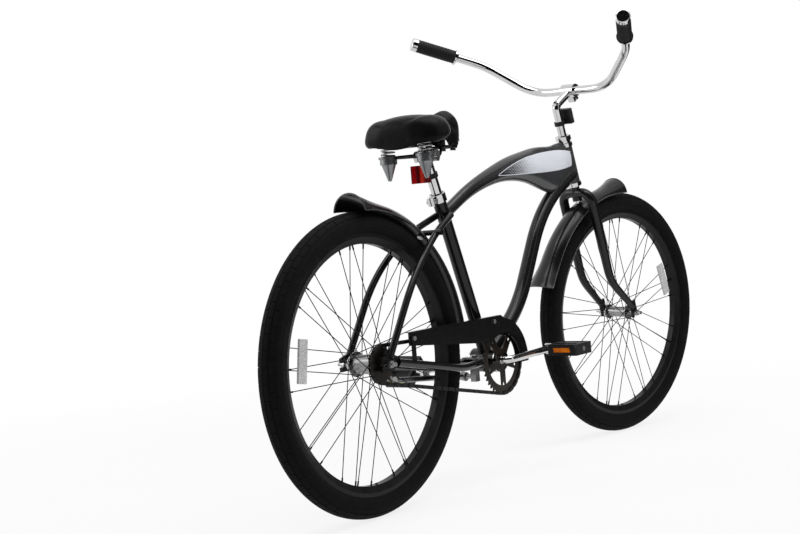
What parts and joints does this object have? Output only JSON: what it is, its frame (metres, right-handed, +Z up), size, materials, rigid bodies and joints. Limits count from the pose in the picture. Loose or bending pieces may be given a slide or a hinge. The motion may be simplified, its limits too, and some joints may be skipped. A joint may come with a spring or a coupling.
{
  "type": "beach cruiser bicycle",
  "caption": "Beach cruiser bicycle with balloon tyres, tank-style curved top tube, swept-back handlebar, flared fenders, sprung saddle, chain guard and coaster brake.",
  "frame": {"origin": "on the ground under the rear axle, where the rear tyre stands", "axes": "+X forwards, +Y to the rider's left, +Z up"},
  "size_m": [1.7896, 0.7248, 1.1295],
  "materials": {
    "frame_paint": "gloss",
    "chrome": "polished",
    "steel": "satin",
    "dark_steel": "satin",
    "alloy": "satin",
    "tyre_rubber": "matte",
    "tube_rubber": "matte",
    "grip_rubber": "matte",
    "vinyl": "satin",
    "black_plastic": "matte",
    "red_lens": "gloss",
    "clear_lens": "gloss"
  },
  "bodies": {
    "frame": {"head_tube": "frame_paint", "top_tube": "frame_paint", "down_tube": "frame_paint", "seat_tube": "frame_paint", "bottom_bracket_shell": "frame_paint", "chain_stays": "frame_paint", "seat_stays": "frame_paint", "dropouts": "frame_paint", "seat_clamp": "chrome", "frame_bolts": "chrome", "rear_fender": "frame_paint", "chain_guard": "frame_paint", "chain_guard_brackets": "frame_paint", "kickstand_bracket": "alloy", "brake_arm": "steel", "rear_axle": "steel", "bearing_cups": "chrome", "frame_bearings": "steel", "chain": "steel"},
    "steering": {"steerer": "frame_paint", "fork_blades": "frame_paint", "headset_nuts": "chrome", "stem": "chrome", "stem_bolts": "chrome", "handlebar": "chrome", "grips": "grip_rubber", "grip_ferrules": "chrome", "front_fender": "frame_paint", "front_reflector_bracket": "black_plastic", "front_reflector_lens": "clear_lens", "front_axle": "steel"},
    "front_wheel": {"front_hub": "steel", "front_spokes": "dark_steel", "front_rim": "dark_steel", "front_tyre": "tyre_rubber", "front_inner_tube": "tube_rubber", "front_spoke_reflector": "clear_lens"},
    "rear_wheel": {"rear_hub": "steel", "rear_spokes": "dark_steel", "rear_rim": "dark_steel", "rear_tyre": "tyre_rubber", "rear_inner_tube": "tube_rubber", "rear_spoke_reflector": "clear_lens"},
    "driver": {"rear_sprocket": "steel"},
    "crank": {"crank": "chrome", "chainring": "dark_steel", "pedal_spindles": "chrome"},
    "left_pedal": {"left_pedal": "black_plastic"},
    "right_pedal": {"right_pedal": "black_plastic"},
    "seat_post": {"seat_post": "chrome", "rear_reflector_bracket": "black_plastic", "rear_reflector_lens": "red_lens", "saddle_clamp": "chrome", "saddle_rails": "dark_steel", "spring_cups": "chrome", "saddle_springs": "chrome"},
    "saddle": {"saddle_pan": "black_plastic", "saddle_cushion": "vinyl"},
    "kickstand": {"kickstand_leg": "alloy"}
  },
  "joints": [
    {"name": "steer", "type": "hinge", "parent": "frame", "child": "steering", "pos_m": [0.91065, 0, 0.80035], "axis": [-0.3007, 0, 0.9537], "range_deg": [-50, 66]},
    {"name": "front_spin", "type": "hinge", "parent": "steering", "child": "front_wheel", "pos_m": [1.12538, -0.00916, 0.33331], "axis": [0.1344, 0.99, 0.0424], "continuous": true},
    {"name": "rear_spin", "type": "hinge", "parent": "frame", "child": "rear_wheel", "pos_m": [0, 0, 0.3335], "axis": [0, 1, 0], "continuous": true},
    {"name": "crank_spin", "type": "hinge", "parent": "frame", "child": "crank", "pos_m": [0.46542, 0, 0.283], "axis": [0, 1, 0], "continuous": true, "deforming": ["chain"]},
    {"name": "driver_spin", "type": "hinge", "parent": "frame", "child": "driver", "pos_m": [0, 0, 0.3335], "axis": [0, 1, 0], "continuous": true},
    {"name": "left_pedal_spin", "type": "hinge", "parent": "crank", "child": "left_pedal", "pos_m": [0.29053, 0.068, 0.27689], "axis": [0, 1, 0], "continuous": true},
    {"name": "right_pedal_spin", "type": "hinge", "parent": "crank", "child": "right_pedal", "pos_m": [0.64031, -0.072, 0.28911], "axis": [0, 1, 0], "continuous": true},
    {"name": "seat_height", "type": "slide", "parent": "frame", "child": "seat_post", "axis": [-0.3584, 0, 0.9336], "range_m": [-0.03, 0.08]},
    {"name": "saddle_bounce", "type": "hinge", "parent": "seat_post", "child": "saddle", "pos_m": [0.36635, 0, 0.803], "axis": [0, -1, 0], "range_deg": [0, 4.5], "stiffness_Nm_per_rad": 1300, "springref_deg": -0.29, "deforming": ["saddle_springs"]},
    {"name": "kickstand_swing", "type": "hinge", "parent": "frame", "child": "kickstand", "pos_m": [0.40842, 0.03203, 0.25036], "axis": [-0.0833, -0.9876, -0.133], "range_deg": [0, 80.6]}
  ],
  "couplings": [
    {"joint": "driver_spin", "follows": "crank_spin", "ratio": 2}
  ]
}
